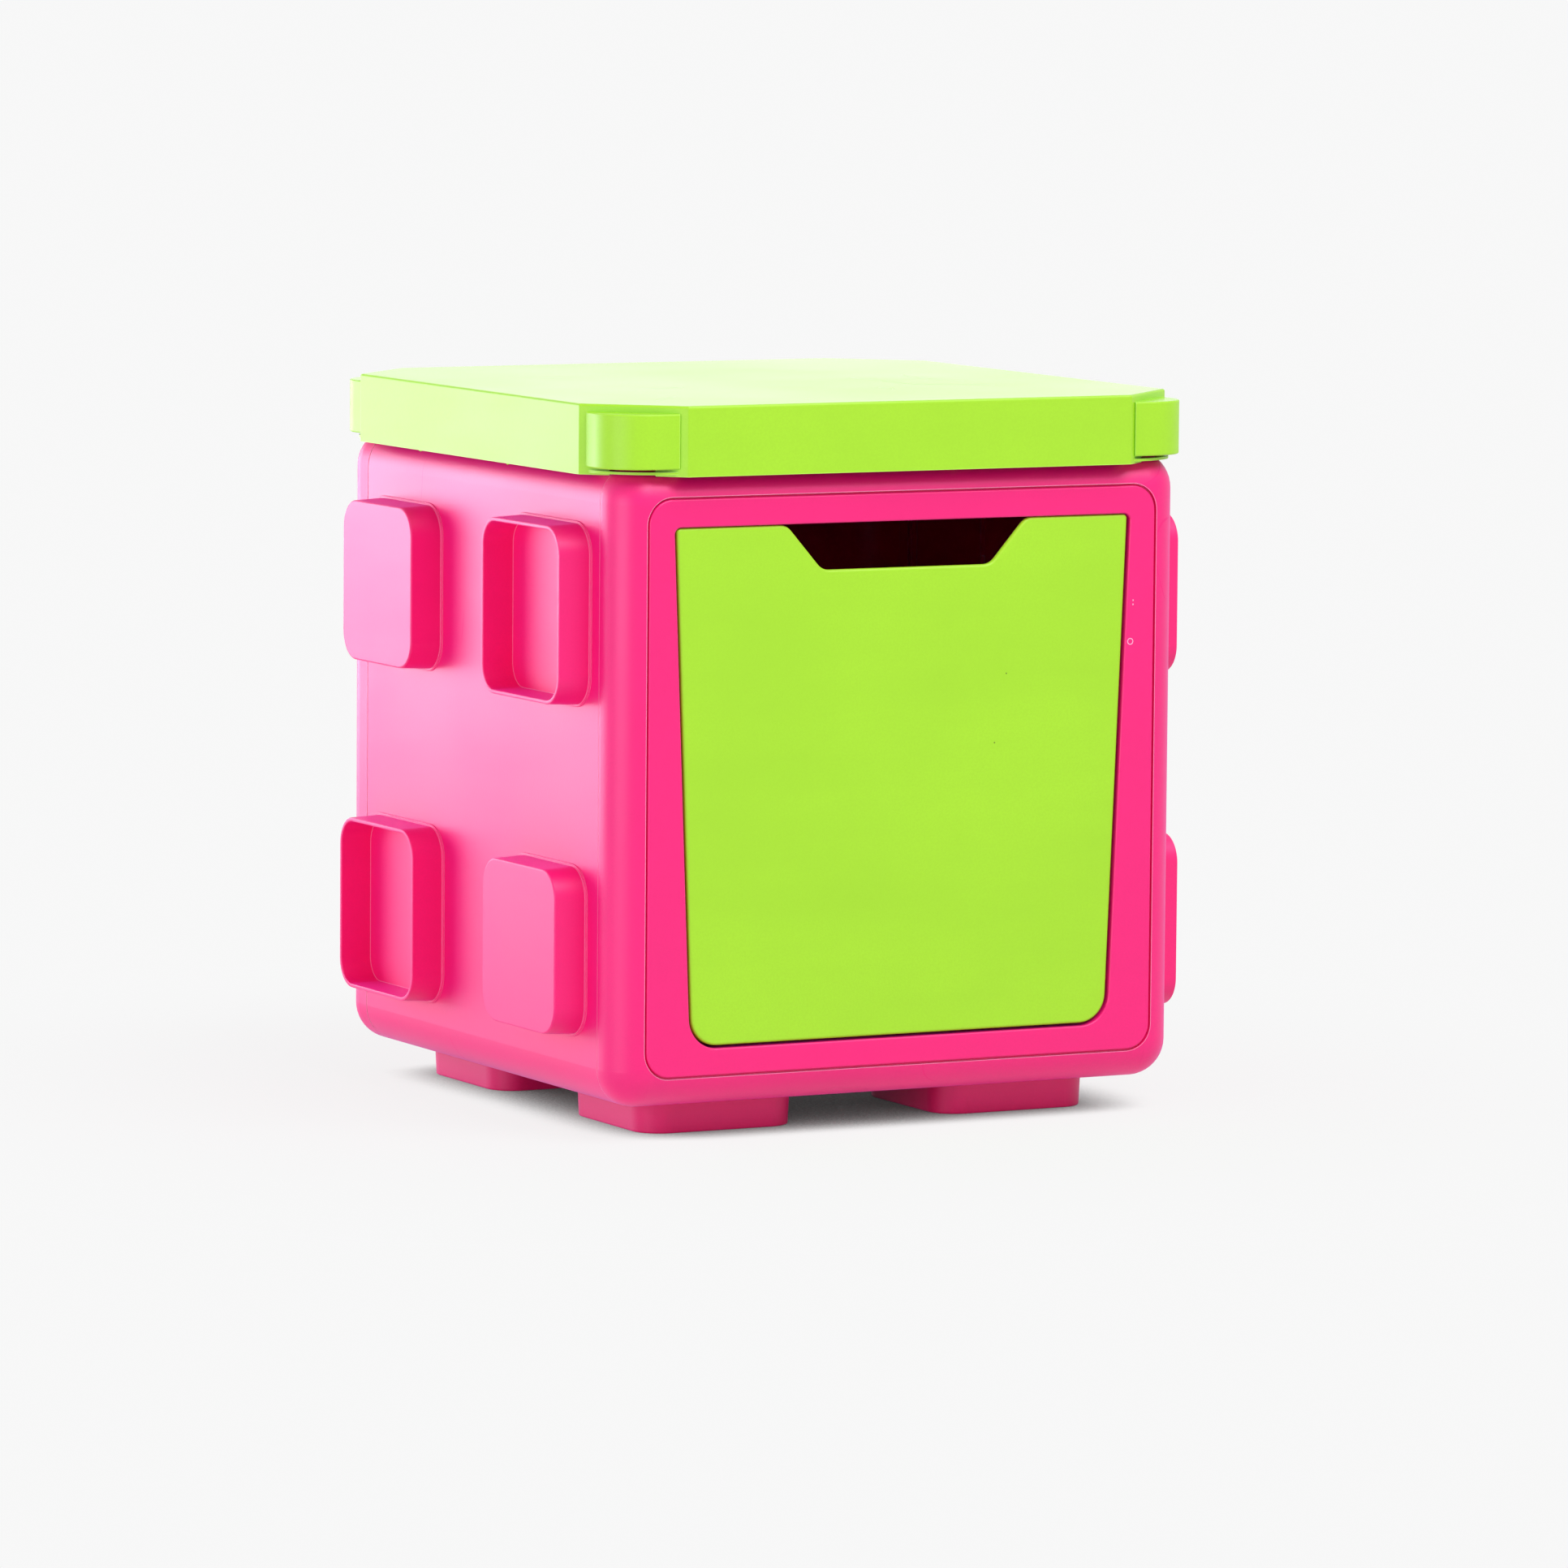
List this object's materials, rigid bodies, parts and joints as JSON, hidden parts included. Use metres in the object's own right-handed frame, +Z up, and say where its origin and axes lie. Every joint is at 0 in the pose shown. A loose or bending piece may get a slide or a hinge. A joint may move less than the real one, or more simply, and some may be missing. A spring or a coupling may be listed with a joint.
{
  "type": "toy storage box",
  "caption": "Cube toy storage box with interlocking side lugs, square feet, a tip-out front door with finger notch, and a lift-off lid with cut corners and corner clips",
  "frame": {"origin": "on the floor, under the middle of the box", "axes": "+X the right side seen from the front, +Y towards the back, +Z up; the door faces -Y"},
  "size_m": [0.3876, 0.364, 0.4011],
  "materials": {
    "pink_plastic": "fine moulded grain, satin",
    "lime_plastic": "fine moulded grain, satin",
    "pin_plastic": "smooth"
  },
  "bodies": {
    "case": {"main_shell": "pink_plastic", "back_cover": "pink_plastic", "front_frame": "pink_plastic", "left_stud_upper_back": "pink_plastic", "left_stud_lower_front": "pink_plastic", "left_socket_upper_front": "pink_plastic", "left_socket_lower_back": "pink_plastic", "right_stud_upper_front": "pink_plastic", "right_stud_lower_back": "pink_plastic", "right_socket_upper_back": "pink_plastic", "right_socket_lower_front": "pink_plastic", "foot_front_left": "pink_plastic", "foot_front_right": "pink_plastic", "foot_back_left": "pink_plastic", "foot_back_right": "pink_plastic", "top_socket_front_left": "pink_plastic", "top_socket_front_right": "pink_plastic", "top_socket_back_left": "pink_plastic", "top_socket_back_right": "pink_plastic", "hinge_pin_left": "pin_plastic", "hinge_pin_right": "pin_plastic"},
    "door": {"door_panel": "lime_plastic"},
    "lid": {"lid_shell": "lime_plastic", "corner_clip_front_left": "lime_plastic", "corner_clip_front_right": "lime_plastic", "corner_clip_back_left": "lime_plastic", "corner_clip_back_right": "lime_plastic"}
  },
  "joints": [
    {"name": "door_tilt", "type": "hinge", "parent": "case", "child": "door", "pos_m": [0, -0.1675, 0.076], "axis": [1, 0, 0], "range_deg": [0, 90]},
    {"name": "lid_lift", "type": "slide", "parent": "case", "child": "lid", "axis": [0, 0, 1], "range_m": [0, 0.08]}
  ]
}
